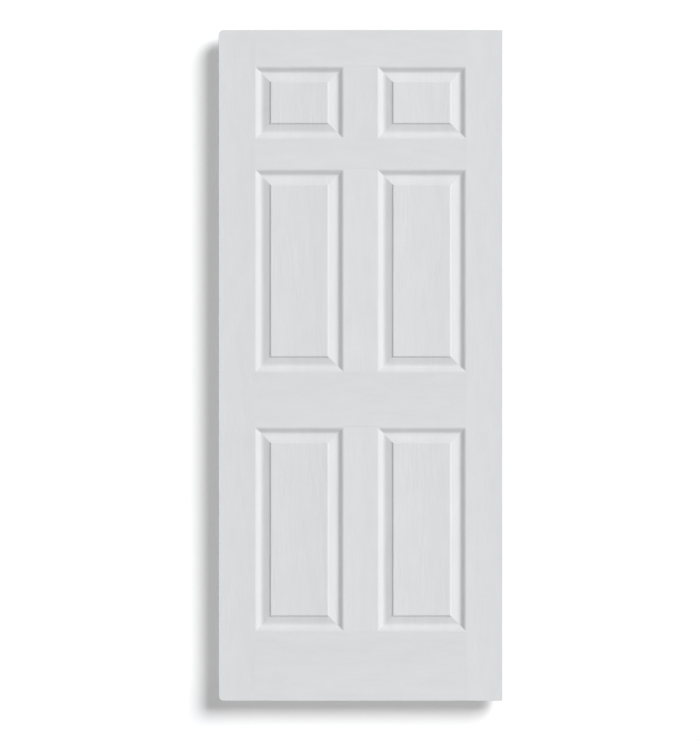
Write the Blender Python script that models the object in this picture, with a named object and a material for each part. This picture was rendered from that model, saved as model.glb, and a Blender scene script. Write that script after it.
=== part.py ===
"""A six-panel moulded door leaf with a hollow core, ready to be hung on either edge.

Two pressed fibreboard facings are glued to a softwood frame of two stiles and two rails.
A lock block stands against each stile, and an expanded paper honeycomb keeps the facings
apart. Corrugated steel strips hold the corners of the frame together.

Sizes are in metres. X runs across the leaf, Y through it with the front face towards -Y,
and Z is up. The origin is at the middle of the leaf's foot.
"""

import math

import bmesh
import bpy
from mathutils import Matrix, Vector

# The leaf.
LEAF_WIDTH = 0.838
LEAF_HEIGHT = 1.981
LEAF_THICKNESS = 0.035
FACING_THICKNESS = 0.003
HINGE_CORNER_RADIUS = 0.015
LATCH_CORNER_RADIUS = 0.002
ARRIS = 0.0008
GLUE_LINE = 0.0003

# The flats between the panels, on both faces.
STILE_FACE = 0.1069
MULLION_FACE = 0.0985
TOP_RAIL_FACE = 0.107
FRIEZE_RAIL_FACE = 0.0888
LOCK_RAIL_FACE = 0.1618
BOTTOM_RAIL_FACE = 0.2048

# The panels. The two tall rows share the height that the flats and the top row leave.
TOP_PANEL_HEIGHT = 0.215
BOTTOM_PANEL_EXTRA = 0.0034

# The moulding round each panel, from the flat inwards.
OGEE_WIDTH = 0.020
GROOVE_DEPTH = 0.0088
HOLLOW_WIDTH = 0.008
BEVEL_WIDTH = 0.023
BEVEL_RISE = 0.0051
QUIRK_WIDTH = 0.0045

# The softwood frame and the lock blocks.
STILE_WIDTH = 0.034
TOP_RAIL_HEIGHT = 0.034
BOTTOM_RAIL_HEIGHT = 0.050
LOCK_BLOCK_HEIGHT = 0.500
LOCK_BLOCK_SETBACK = 0.004
VENT_DIAMETER = 0.006

# The corrugated strips at the corners of the frame.
FASTENER_LENGTH = 0.025
FASTENER_DEPTH = 0.010
FASTENER_GAUGE = 0.0006
FASTENER_WAVES = 4
FASTENER_WAVE_HEIGHT = 0.003

# The paper core.
CELL_SIDE = 0.060
PAPER_THICKNESS = 0.0008

# How finely the curves are cut.
OUTER_OGEE_STEPS = 10
INNER_OGEE_STEPS = 4
HOLLOW_STEPS = 3
CORNER_STEPS = 6
WAVE_STEPS = 4
VENT_SIDES = 12

# Worked out from the sizes above.
BOARD_THICKNESS = LEAF_THICKNESS - 2 * (FACING_THICKNESS + GLUE_LINE)
PANEL_WIDTH = (LEAF_WIDTH - 2 * STILE_FACE - MULLION_FACE) / 2
FLAT_RAILS = TOP_RAIL_FACE + FRIEZE_RAIL_FACE + LOCK_RAIL_FACE + BOTTOM_RAIL_FACE
TALL_ROWS = LEAF_HEIGHT - FLAT_RAILS - TOP_PANEL_HEIGHT
BOTTOM_PANEL_HEIGHT = (TALL_ROWS + BOTTOM_PANEL_EXTRA) / 2
FRAME_INNER_X = LEAF_WIDTH / 2 - STILE_WIDTH
LOCK_RAIL_CENTRE = BOTTOM_RAIL_FACE + BOTTOM_PANEL_HEIGHT + LOCK_RAIL_FACE / 2
CUTTER_MARGIN = 0.005
SAME_PLANE = 1e-6


# ---------------------------------------------------------------- the moulding's section


def moulding_profile(ogee_steps, hollow_steps):
    """Points (run in from the flat, depth below it) across the moulding.

    An ogee, half a cosine wave, falls into the groove. A hollow, a parabola, turns up into
    the straight bevel, and a short steep quirk climbs back to the level of the flat.
    """
    slope = BEVEL_RISE / (BEVEL_WIDTH - HOLLOW_WIDTH / 2)
    points = []
    for step in range(ogee_steps + 1):
        share = step / ogee_steps
        points.append((OGEE_WIDTH * share, GROOVE_DEPTH * (1 - math.cos(math.pi * share)) / 2))
    for step in range(1, hollow_steps + 1):
        run = HOLLOW_WIDTH * step / hollow_steps
        points.append((OGEE_WIDTH + run, GROOVE_DEPTH - slope * run**2 / (2 * HOLLOW_WIDTH)))
    bevel_end = OGEE_WIDTH + BEVEL_WIDTH
    points.append((bevel_end, GROOVE_DEPTH - BEVEL_RISE))
    points.append((bevel_end + QUIRK_WIDTH, 0.0))
    return points


def parallel_profile(points, distance):
    """The section of a surface lying this far behind the given one, with mitred bends.

    The depths are counted from the flat of that surface. A flat runs on at both ends.
    """
    normals = [(0.0, 1.0)]
    for (run_a, depth_a), (run_b, depth_b) in zip(points, points[1:]):
        length = math.hypot(run_b - run_a, depth_b - depth_a)
        normals.append(((depth_a - depth_b) / length, (run_b - run_a) / length))
    normals.append((0.0, 1.0))
    shifted = []
    for (run, depth), before, after in zip(points, normals, normals[1:]):
        reach = distance / (1 + before[0] * after[0] + before[1] * after[1])
        shifted_run = run + reach * (before[0] + after[0])
        shifted_depth = depth + reach * (before[1] + after[1]) - distance
        shifted.append((shifted_run, shifted_depth))
    return shifted


def tent_over(points):
    """The flat-topped tent that a profile fits under: two slopes that touch it and a crown."""
    first, last = points[0][0], points[-1][0]
    bends = points[1:-1]
    crown = max(depth for run, depth in bends)
    rise = max(depth / (run - first) for run, depth in bends)
    fall = max(depth / (last - run) for run, depth in bends)
    return [(first, 0.0), (first + crown / rise, crown), (last - crown / fall, crown), (last, 0.0)]


OUTER_PROFILE = moulding_profile(OUTER_OGEE_STEPS, HOLLOW_STEPS)
INNER_PROFILE = parallel_profile(moulding_profile(INNER_OGEE_STEPS, 1), FACING_THICKNESS)

# Behind the facing the moulding starts a little outside the edge that shows on its face.
MOULDING_LEAD = -INNER_PROFILE[0][0]


# ---------------------------------------------------------------- the panels' places


def panel_columns():
    """Left and right edge of each column of panels."""
    inner = MULLION_FACE / 2
    outer = inner + PANEL_WIDTH
    return [(-outer, -inner), (inner, outer)]


def panel_rows():
    """Foot and head of each row of panels, from the lowest up."""
    rows = []
    foot = BOTTOM_RAIL_FACE
    heights = (BOTTOM_PANEL_HEIGHT, TALL_ROWS - BOTTOM_PANEL_HEIGHT, TOP_PANEL_HEIGHT)
    for height, rail in zip(heights, (LOCK_RAIL_FACE, FRIEZE_RAIL_FACE, TOP_RAIL_FACE)):
        rows.append((foot, foot + height))
        foot += height + rail
    return rows


def cut_lines(spans, low, high):
    """The coordinates from low to high that cut a plate at the edge of each moulding."""
    lines = [low]
    for start, end in spans:
        lines += [start - MOULDING_LEAD, end + MOULDING_LEAD]
    return lines + [high]


def over_panel(point):
    """True for a point that lies over one of the panels."""
    in_column = any(left < point.x < right for left, right in panel_columns())
    in_row = any(foot < point.z < head for foot, head in panel_rows())
    return in_column and in_row


# ---------------------------------------------------------------- making pieces


def finish(name, colour, roughness, metallic=0.0):
    """A plain Principled material."""
    material = bpy.data.materials.new(name)
    material.use_nodes = True
    material.diffuse_color = (*colour, 1.0)
    shader = material.node_tree.nodes["Principled BSDF"]
    shader.inputs["Base Color"].default_value = (*colour, 1.0)
    shader.inputs["Roughness"].default_value = roughness
    shader.inputs["Metallic"].default_value = metallic
    return material


def add_object(name, bm, location=(0.0, 0.0, 0.0)):
    """Moves a bmesh into a new object, carried by the leaf's empty."""
    mesh = bpy.data.meshes.new(name)
    bmesh.ops.recalc_face_normals(bm, faces=bm.faces)
    bm.to_mesh(mesh)
    bm.free()
    made = bpy.data.objects.new(name, mesh)
    made.location = location
    made.parent = bpy.data.objects["door_leaf"]
    bpy.context.scene.collection.objects.link(made)
    return made


def add_piece(name, bm, material, location=(0.0, 0.0, 0.0)):
    """An object that is one piece of the leaf."""
    piece = add_object(name, bm, location)
    piece.data.materials.append(material)
    return piece


def add_cutter(name, bm):
    """An object that only cuts others."""
    cutter = add_object(name, bm)
    cutter.hide_render = True
    cutter.display_type = "WIRE"
    return cutter


def trim(piece, cutter, operation="DIFFERENCE"):
    """Cuts a piece with a Boolean modifier that stays on it."""
    modifier = piece.modifiers.new(f"{operation.lower()}_{cutter.name}", "BOOLEAN")
    modifier.operation = operation
    modifier.object = cutter
    modifier.solver = "EXACT"


def thicken(piece, thickness, mode):
    """Gives sheet faces a thickness, half to each side."""
    modifier = piece.modifiers.new("thickness", "SOLIDIFY")
    modifier.solidify_mode = mode
    modifier.thickness = thickness
    modifier.offset = 0.0
    if mode == "NON_MANIFOLD":
        modifier.nonmanifold_thickness_mode = "CONSTRAINTS"
        modifier.nonmanifold_merge_threshold = 0.00001
    else:
        modifier.use_even_offset = True


def add_box(bm, low, high):
    """Adds the box between two corners."""
    low, high = Vector(low), Vector(high)
    place = Matrix.Translation((low + high) / 2) @ Matrix.Diagonal((*(high - low), 1.0))
    return bmesh.ops.create_cube(bm, size=1.0, matrix=place)["verts"]


def round_upright_corners(bm, side, radius):
    """Rounds the two corners of a plate's outline on one side, as seen from the front.

    Side is -1 for the corners towards -X and 1 for those towards +X.
    """
    reach = max(vert.co.x * side for vert in bm.verts)
    foot = min(vert.co.z for vert in bm.verts)
    head = max(vert.co.z for vert in bm.verts)
    corners = []
    for edge in bm.edges:
        start, end = (vert.co for vert in edge.verts)
        runs_through = (start - end).xz.length < SAME_PLANE
        outermost = reach - start.x * side < SAME_PLANE
        at_an_end = min(start.z - foot, head - start.z) < SAME_PLANE
        if runs_through and outermost and at_an_end:
            corners.append(edge)
    bmesh.ops.bevel(bm, geom=corners, offset=radius, segments=CORNER_STEPS, profile=0.5,
                    affect="EDGES")


# ---------------------------------------------------------------- pressed plates


def cut_plate(front, back):
    """A plate of the leaf's outline between two depths, cut into cells at the panels."""
    xs = cut_lines(panel_columns(), -LEAF_WIDTH / 2, LEAF_WIDTH / 2)
    zs = cut_lines(panel_rows(), 0.0, LEAF_HEIGHT)
    bm = bmesh.new()
    grid = [[bm.verts.new((x, front, z)) for z in zs] for x in xs]
    for left, right in zip(grid, grid[1:]):
        for row in range(len(zs) - 1):
            bm.faces.new((left[row], right[row], right[row + 1], left[row + 1]))
    swept = bmesh.ops.extrude_face_region(bm, geom=bm.faces[:])["geom"]
    back_verts = [item for item in swept if isinstance(item, bmesh.types.BMVert)]
    bmesh.ops.translate(bm, verts=back_verts, vec=(0.0, back - front, 0.0))
    bmesh.ops.recalc_face_normals(bm, faces=bm.faces)
    return bm


def press_panels(bm, depth, profile, way):
    """Sweeps a profile round every panel cell of the plate's face that lies at this depth.

    Each step insets the cells and moves them along their normals: way is -1 to press the
    moulding into the plate and +1 to raise it.
    """
    cells = []
    for face in bm.faces:
        centre = face.calc_center_median()
        if abs(centre.y - depth) < SAME_PLANE and over_panel(centre):
            cells.append(face)
    for (run_a, depth_a), (run_b, depth_b) in zip(profile, profile[1:]):
        bmesh.ops.inset_individual(bm, faces=cells, thickness=run_b - run_a,
                                   depth=way * (depth_b - depth_a), use_even_offset=True)


def ease_front_arris(bm):
    """Takes the sharp edge off the outline of the face that lies at y = 0."""
    outline = []
    for edge in bm.edges:
        on_face = all(abs(vert.co.y) < SAME_PLANE for vert in edge.verts)
        tilts = [abs(face.normal.y) for face in edge.link_faces]
        if on_face and max(tilts) > 0.5 and min(tilts) < 0.5:
            outline.append(edge)
    bmesh.ops.bevel(bm, geom=outline, offset=ARRIS, segments=1, affect="EDGES")


def facing(name, material, outward):
    """One pressed facing: the plate with the moulding sunk in its face and raised behind.

    It is built for the front, with its face at y = 0, and turned over for the back.
    """
    bm = cut_plate(0.0, FACING_THICKNESS)
    round_upright_corners(bm, -1, HINGE_CORNER_RADIUS)
    round_upright_corners(bm, 1, LATCH_CORNER_RADIUS)
    ease_front_arris(bm)
    press_panels(bm, 0.0, [(-MOULDING_LEAD, 0.0)] + OUTER_PROFILE, -1)
    press_panels(bm, FACING_THICKNESS, INNER_PROFILE, 1)
    if outward > 0:
        bmesh.ops.scale(bm, vec=(1.0, -1.0, 1.0), verts=bm.verts)
    piece = add_piece(name, bm, material, (0.0, outward * LEAF_THICKNESS / 2, 0.0))
    piece.data.shade_smooth()
    piece.data.set_sharp_from_angle(angle=math.radians(15))
    return piece


# ---------------------------------------------------------------- the softwood frame


def frame_board(name, material, across, up, rounded_side=0, radius=0.0):
    """A board as thick as the frame, between two x and two z.

    Where rounded_side is -1 or 1, its corners on that side are rounded.
    """
    (left, right), (foot, head) = across, up
    half = Vector((right - left, BOARD_THICKNESS, head - foot)) / 2
    bm = bmesh.new()
    add_box(bm, -half, half)
    if rounded_side:
        round_upright_corners(bm, rounded_side, radius)
    return add_piece(name, bm, material, ((left + right) / 2, 0.0, (foot + head) / 2))


def span_beside(side, near, far):
    """The x span between two distances from the leaf's middle, on one side of it."""
    return sorted((side * near, side * far))


def stile(name, material, side, radius):
    """A full-height board along one long edge of the leaf."""
    across = span_beside(side, FRAME_INNER_X, LEAF_WIDTH / 2)
    return frame_board(name, material, across, (0.0, LEAF_HEIGHT), side, radius)


def rail(name, material, foot, head):
    """A board between the stiles."""
    reach = FRAME_INNER_X - GLUE_LINE
    return frame_board(name, material, (-reach, reach), (foot, head))


def lock_block_span(side):
    """The x span of a lock block: from the stile to just short of the moulding."""
    inner = LEAF_WIDTH / 2 - STILE_FACE + MOULDING_LEAD + LOCK_BLOCK_SETBACK
    return span_beside(side, inner, FRAME_INNER_X - GLUE_LINE)


def lock_block_reach():
    """The foot and head of the lock blocks, about the middle of the lock rail."""
    return LOCK_RAIL_CENTRE - LOCK_BLOCK_HEIGHT / 2, LOCK_RAIL_CENTRE + LOCK_BLOCK_HEIGHT / 2


def vent_holes():
    """A cutter for the vents: one through each rail at the middle of each panel column."""
    bm = bmesh.new()
    rails = ((0.0, BOTTOM_RAIL_HEIGHT), (LEAF_HEIGHT - TOP_RAIL_HEIGHT, LEAF_HEIGHT))
    for foot, head in rails:
        for left, right in panel_columns():
            place = Matrix.Translation(((left + right) / 2, 0.0, (foot + head) / 2))
            bmesh.ops.create_cone(bm, cap_ends=True, segments=VENT_SIDES,
                                  radius1=VENT_DIAMETER / 2, radius2=VENT_DIAMETER / 2,
                                  depth=head - foot + 2 * CUTTER_MARGIN, matrix=place)
    return add_cutter("vent_holes", bm)


# ---------------------------------------------------------------- the corner fasteners


def fastener_seats():
    """Name and place of each corner fastener: on the joint line, at the rail's mid-height.

    The place is on the face of the frame, and facing is -1 for the front and 1 for the back.
    """
    seats = []
    heights = {"bottom": BOTTOM_RAIL_HEIGHT / 2, "top": LEAF_HEIGHT - TOP_RAIL_HEIGHT / 2}
    joint = FRAME_INNER_X - GLUE_LINE / 2
    for end, height in heights.items():
        for stile_name, side in (("hinge", -1), ("latch", 1)):
            for face_name, way in (("front", -1), ("back", 1)):
                place = Vector((side * joint, way * BOARD_THICKNESS / 2, height))
                seats.append((f"{end}_{stile_name}_fastener_{face_name}", place, way))
    return seats


def fastener_slots():
    """A cutter for the slots that the fasteners drive themselves into."""
    half_wave = (FASTENER_WAVE_HEIGHT + FASTENER_GAUGE) / 2 + GLUE_LINE
    half_length = FASTENER_LENGTH / 2 + GLUE_LINE
    bm = bmesh.new()
    for name, place, way in fastener_seats():
        inner = place.y - way * (FASTENER_DEPTH + GLUE_LINE)
        outer = place.y + way * CUTTER_MARGIN
        low = (place.x - half_length, min(inner, outer), place.z - half_wave)
        high = (place.x + half_length, max(inner, outer), place.z + half_wave)
        add_box(bm, low, high)
    return add_cutter("fastener_slots", bm)


def fastener_strip():
    """The sheet of a corrugated strip: a sine wave along x, extruded into the wood along y."""
    bm = bmesh.new()
    steps = FASTENER_WAVES * WAVE_STEPS
    crest = FASTENER_WAVE_HEIGHT / 2
    line = []
    for step in range(steps + 1):
        turn = 2 * math.pi * FASTENER_WAVES * (step + 0.5) / (steps + 1)
        along = FASTENER_LENGTH * (step / steps - 0.5)
        line.append(bm.verts.new((along, 0.0, crest * math.sin(turn))))
    wire = [bm.edges.new(pair) for pair in zip(line, line[1:])]
    swept = bmesh.ops.extrude_edge_only(bm, edges=wire)["geom"]
    deep = [item for item in swept if isinstance(item, bmesh.types.BMVert)]
    bmesh.ops.translate(bm, verts=deep, vec=(0.0, FASTENER_DEPTH, 0.0))
    return bm


def corner_fasteners(material):
    """One corrugated strip in each slot, turned to enter the wood from its own face."""
    for name, place, way in fastener_seats():
        strip = add_piece(name, fastener_strip(), material, place)
        strip.rotation_euler.z = math.pi if way > 0 else 0.0
        thicken(strip, FASTENER_GAUGE, "EXTRUDE")


# ---------------------------------------------------------------- the paper core


def honeycomb_sheet():
    """The paper of the core, without thickness: ribbons glued to each other at their flats.

    Each ribbon runs across the leaf, from flat to slant to flat. The ribbons are pulled
    apart until the cells fill the frame, so a whole number of them fits each way.
    """
    reach_x = FRAME_INNER_X - GLUE_LINE
    foot = BOTTOM_RAIL_HEIGHT + GLUE_LINE + PAPER_THICKNESS / 2
    head = LEAF_HEIGHT - TOP_RAIL_HEIGHT - GLUE_LINE - PAPER_THICKNESS / 2
    columns = max(2, round((2 * reach_x / CELL_SIDE - 1) / 1.5))
    side = 2 * reach_x / (1.5 * columns + 1)
    levels = max(2, round((head - foot) / (side * math.sqrt(3) / 2)))
    depth = BOARD_THICKNESS / 2 + CUTTER_MARGIN
    bm = bmesh.new()
    flats = {}
    for column in range(columns + 1):
        for level in range(column % 2, levels + 1, 2):
            left = -reach_x + 1.5 * side * column
            height = foot + (head - foot) * level / levels
            ends = [bm.verts.new((x, -depth, height)) for x in (left, left + side)]
            bm.edges.new(ends)
            flats[column, level] = ends
    for (column, level), (start, end) in flats.items():
        for neighbour in ((column + 1, level - 1), (column + 1, level + 1)):
            if neighbour in flats:
                bm.edges.new((end, flats[neighbour][0]))
    swept = bmesh.ops.extrude_edge_only(bm, edges=bm.edges[:])["geom"]
    far = [item for item in swept if isinstance(item, bmesh.types.BMVert)]
    bmesh.ops.translate(bm, verts=far, vec=(0.0, 2 * depth, 0.0))
    return bm


def core_press():
    """The room that the facings leave the core, with both mouldings pressed into it."""
    bm = cut_plate(-BOARD_THICKNESS / 2, BOARD_THICKNESS / 2)
    tent = tent_over(INNER_PROFILE)
    press_panels(bm, -BOARD_THICKNESS / 2, tent, -1)
    press_panels(bm, BOARD_THICKNESS / 2, tent, -1)
    return add_cutter("core_press", bm)


def block_notches():
    """A cutter for the room that the core leaves the lock blocks."""
    foot, head = lock_block_reach()
    depth = BOARD_THICKNESS / 2 + 2 * CUTTER_MARGIN
    bm = bmesh.new()
    for side in (-1, 1):
        left, right = lock_block_span(side)
        low = (left - GLUE_LINE, -depth, foot - GLUE_LINE)
        high = (right + GLUE_LINE, depth, head + GLUE_LINE)
        add_box(bm, low, high)
    return add_cutter("block_notches", bm)


def honeycomb_core(material):
    """The paper core, squeezed by the facings and cut round the lock blocks."""
    core = add_piece("honeycomb_core", honeycomb_sheet(), material)
    thicken(core, PAPER_THICKNESS, "NON_MANIFOLD")
    trim(core, core_press(), "INTERSECT")
    trim(core, block_notches())


# ---------------------------------------------------------------- the leaf


def clear_scene():
    """Removes every object that the file already holds."""
    for leftover in list(bpy.data.objects):
        bpy.data.objects.remove(leftover, do_unlink=True)


def build_leaf():
    """Makes every piece, from the facings inwards."""
    carrier = bpy.data.objects.new("door_leaf", None)
    bpy.context.scene.collection.objects.link(carrier)

    primer = finish("white_primer", (0.73, 0.74, 0.755), 0.55)
    softwood = finish("softwood", (0.70, 0.50, 0.30), 0.7)
    chipboard = finish("lock_block_board", (0.56, 0.40, 0.24), 0.8)
    kraft = finish("kraft_paper", (0.42, 0.28, 0.16), 0.9)
    steel = finish("galvanised_steel", (0.58, 0.59, 0.60), 0.4, 1.0)

    facing("front_facing", primer, -1)
    facing("back_facing", primer, 1)

    boards = [
        stile("hinge_stile", softwood, -1, HINGE_CORNER_RADIUS),
        stile("latch_stile", softwood, 1, LATCH_CORNER_RADIUS),
        rail("bottom_rail", softwood, 0.0, BOTTOM_RAIL_HEIGHT),
        rail("top_rail", softwood, LEAF_HEIGHT - TOP_RAIL_HEIGHT, LEAF_HEIGHT),
    ]
    slots, vents = fastener_slots(), vent_holes()
    for piece in boards:
        trim(piece, slots)
    for piece in boards[2:]:
        trim(piece, vents)
    corner_fasteners(steel)

    frame_board("hinge_lock_block", chipboard, lock_block_span(-1), lock_block_reach())
    frame_board("latch_lock_block", chipboard, lock_block_span(1), lock_block_reach())
    honeycomb_core(kraft)


clear_scene()
build_leaf()
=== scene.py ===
# %% [markdown]
# # A moulded six-panel door leaf
#
# The object is the leaf of an internal door before it is hung. Two thin fibreboard skins,
# pressed to look like stiles, rails and six raised panels, are glued over a softwood frame.
# Lock blocks and a paper honeycomb fill the frame, and corrugated strips hold its corners.
#
# The frame file holds each of these pieces at its real size and place, so nothing is fitted
# here. The two skins are worked out again as finer surfaces, and every piece gets a finish.

import math

import bpy
import numpy as np
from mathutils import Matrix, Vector


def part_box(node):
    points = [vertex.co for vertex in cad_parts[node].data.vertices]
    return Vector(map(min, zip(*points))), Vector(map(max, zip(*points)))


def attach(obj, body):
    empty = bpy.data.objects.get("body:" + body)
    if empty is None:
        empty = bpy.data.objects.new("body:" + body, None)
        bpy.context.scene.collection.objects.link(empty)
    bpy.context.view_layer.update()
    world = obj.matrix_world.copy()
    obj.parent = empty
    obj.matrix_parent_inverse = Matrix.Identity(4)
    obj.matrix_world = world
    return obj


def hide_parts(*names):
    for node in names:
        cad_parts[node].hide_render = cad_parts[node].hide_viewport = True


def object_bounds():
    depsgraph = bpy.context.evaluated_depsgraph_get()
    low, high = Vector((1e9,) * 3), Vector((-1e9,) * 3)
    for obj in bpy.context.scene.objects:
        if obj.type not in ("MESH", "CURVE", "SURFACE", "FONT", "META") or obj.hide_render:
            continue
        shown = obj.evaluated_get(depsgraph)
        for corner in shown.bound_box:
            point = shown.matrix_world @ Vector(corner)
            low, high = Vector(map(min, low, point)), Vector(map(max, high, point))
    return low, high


QUARTER_TURN = math.radians(90)

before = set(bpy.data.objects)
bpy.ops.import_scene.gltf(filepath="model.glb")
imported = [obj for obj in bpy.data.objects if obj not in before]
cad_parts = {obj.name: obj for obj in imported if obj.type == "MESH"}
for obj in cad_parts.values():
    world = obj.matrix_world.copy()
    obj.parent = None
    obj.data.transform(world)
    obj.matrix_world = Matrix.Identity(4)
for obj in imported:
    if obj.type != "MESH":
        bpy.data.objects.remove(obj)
cad_low, cad_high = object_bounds()
print("pieces in the frame:", ", ".join(sorted(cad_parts)))

# %% [markdown]
# ## The camera
#
# A catalogue shows a door square on, from so far away that its long edges stay parallel. An
# orthographic camera would do that outright, but a long lens ten metres off keeps a little
# true perspective. The leaf hangs slightly right of the middle and slightly above it,
# because its shadow falls to the left and down.

# %% Place the camera
SENSOR_MM = 36.0
CAMERA_DISTANCE = 10.0
SEEN_HEIGHT = 2.1878
CAMERA_LEFT_OF_LEAF = 0.0312
CAMERA_BELOW_MIDDLE = 0.0151

camera_data = bpy.data.cameras.new("camera")
camera_data.sensor_width = SENSOR_MM
camera_data.lens = SENSOR_MM * CAMERA_DISTANCE / SEEN_HEIGHT
camera = bpy.data.objects.new("camera", camera_data)
camera.location = (
    (cad_low.x + cad_high.x) / 2 - CAMERA_LEFT_OF_LEAF,
    cad_low.y - CAMERA_DISTANCE,
    (cad_low.z + cad_high.z) / 2 - CAMERA_BELOW_MIDDLE,
)
camera.rotation_euler = (QUARTER_TURN, 0.0, 0.0)
bpy.context.scene.collection.objects.link(camera)
bpy.context.scene.camera = camera
bpy.context.scene.view_settings.view_transform = "Standard"
print("lens in mm:", round(camera_data.lens, 1))

# %% [markdown]
# ## Small helpers for node trees
#
# A material is a list of nodes and the wires between them. Written out, each node takes
# several lines, so helpers add a node and fill its inputs at once: an input takes a number
# or colour, or another node's output.

# %% Node helpers
def fill_inputs(tree, node, inputs):
    """Fills inputs of a node with other nodes' outputs or with plain values."""
    for name, value in inputs.items():
        if isinstance(value, bpy.types.NodeSocket):
            tree.links.new(value, node.inputs[name])
        else:
            node.inputs[name].default_value = value


def add_node(tree, kind, inputs=None, **settings):
    """Adds a node, sets its properties, and fills its inputs."""
    made = tree.nodes.new(kind)
    for name, value in settings.items():
        setattr(made, name, value)
    fill_inputs(tree, made, inputs or {})
    return made


def sum_up(tree, operation, first, second=0.0, third=0.0):
    """The result of one Math node on up to three values or wires."""
    filled = {0: first, 1: second, 2: third}
    return add_node(tree, "ShaderNodeMath", filled, operation=operation).outputs[0]


def blend_colours(tree, share, low, high):
    """The colour that goes from low to high as the share goes from 0 to 1. A Mix node has
    inputs of every kind: its colours are inputs 6 and 7, and the mixed one is output 2."""
    mix = add_node(tree, "ShaderNodeMix", {0: share, 6: low, 7: high}, data_type="RGBA")
    return mix.outputs[2]


def spread(tree, value, low, high, new_low=0.0, new_high=1.0):
    """A value carried from one range to another, and held at its ends."""
    filled = {"Value": value, "From Min": low, "From Max": high,
              "To Min": new_low, "To Max": new_high}
    return add_node(tree, "ShaderNodeMapRange", filled).outputs["Result"]


def split(tree, vector):
    """The coordinates X, Y and Z of a vector."""
    return add_node(tree, "ShaderNodeSeparateXYZ", {0: vector}).outputs


def combine(tree, *coordinates):
    """A vector from its coordinates."""
    return add_node(tree, "ShaderNodeCombineXYZ", dict(enumerate(coordinates))).outputs[0]


def noise(tree, inputs, **settings):
    """The value of a Noise texture with these inputs."""
    return add_node(tree, "ShaderNodeTexNoise", inputs, **settings).outputs["Fac"]


print("helpers for node trees are ready")

# %% [markdown]
# ## Lamps
#
# Relief needs light from one side: a wide, soft lamp high on the right leaves the slopes
# that face away from it in shade, where a lamp beside the camera would hide them. A second
# wide lamp lights the back of the leaf in the same way. It lights only what the camera looks
# at, because its light, bounced off the back, would brighten the leaf's shadow.

# %% Set the lamps
KEY_TOWARDS = (0.80, -1.0, 0.70)
KEY_STRENGTH = 3.07
REAR_TOWARDS = (0.55, 1.0, 0.55)
REAR_STRENGTH = 2.9
LAMP_SPREAD = math.radians(31)
DIRECT_RAY_DEPTH = 1.5


def add_sun(name, towards, strength):
    """A wide, even lamp shining from the given direction."""
    lamp = bpy.data.lights.new(name, "SUN")
    lamp.energy = strength
    lamp.angle = LAMP_SPREAD
    made = bpy.data.objects.new(name, lamp)
    made.rotation_euler = Vector(towards).to_track_quat("Z", "Y").to_euler()
    bpy.context.scene.collection.objects.link(made)
    return made


def spare_the_bounces(lamp_object):
    """Makes a lamp light only what the camera looks at, so its light doesn't bounce on: a
    ray from there has a depth below DIRECT_RAY_DEPTH, and a bounced one a depth above it."""
    lamp_object.data.use_nodes = True
    tree = lamp_object.data.node_tree
    depth = add_node(tree, "ShaderNodeLightPath").outputs["Ray Depth"]
    shown = sum_up(tree, "LESS_THAN", depth, DIRECT_RAY_DEPTH)
    fill_inputs(tree, tree.nodes["Emission"], {"Strength": shown})


add_sun("key_lamp", KEY_TOWARDS, KEY_STRENGTH)
rear_lamp = add_sun("rear_lamp", REAR_TOWARDS, REAR_STRENGTH)
spare_the_bounces(rear_lamp)

# %% [markdown]
# ## Fill
#
# The shadows are filled by the world. Even fill from all round would flatten the mouldings,
# so it comes from below, like light off a pale floor, and none comes from straight above.
# The world looks white to the camera and in reflections, whatever its fill.

# %% Light the world
FILL_STRENGTH = 0.30
FILL_FROM_BELOW = 1.0
PAPER_WHITE = 1.0
WHITE = (1.0, 1.0, 1.0, 1.0)


def light_world(strength, from_below, seen):
    """A white world that is seen at one strength and lights at another, which is greater
    from below and smaller from above by the share from_below."""
    world = bpy.data.worlds.new("studio")
    world.use_nodes = True
    tree = world.node_tree
    path = add_node(tree, "ShaderNodeLightPath")
    mirrored = sum_up(tree, "MAXIMUM", path.outputs["Is Glossy Ray"],
                      path.outputs["Is Transmission Ray"])
    shown = sum_up(tree, "MAXIMUM", path.outputs["Is Camera Ray"], mirrored)
    direction = add_node(tree, "ShaderNodeTexCoord").outputs["Generated"]
    height = split(tree, direction)["Z"]
    fill = spread(tree, height, -1.0, 1.0,
                  strength * (1 + from_below), strength * (1 - from_below))
    level = spread(tree, shown, 0.0, 1.0, fill, seen)
    fill_inputs(tree, tree.nodes["Background"], {"Color": WHITE, "Strength": level})
    bpy.context.scene.world = world


light_world(FILL_STRENGTH, FILL_FROM_BELOW, PAPER_WHITE)
print("fill from straight below:", FILL_STRENGTH * (1 + FILL_FROM_BELOW))

# %% [markdown]
# ## Backdrop and floor
#
# A door is hung from its edge, so the leaf hangs free: a white sheet stands close behind it
# and catches its soft shadow, and a pale floor lies just below. Plain sheets would keep the
# fill from the leaf and hide it in a view from the back. So both are paper to the camera
# only, and from their face only. To every other ray they are clear. Part of their white is
# their own glow, which keeps the lit paper white and the shadow pale. It is weaker from the
# leaf's foot down, where more of the fill arrives.

# %% Paper for the stage
FOOT_GLOW_SHARE = 0.68
FOOT_RISE = (-0.01, 0.10)


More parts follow.
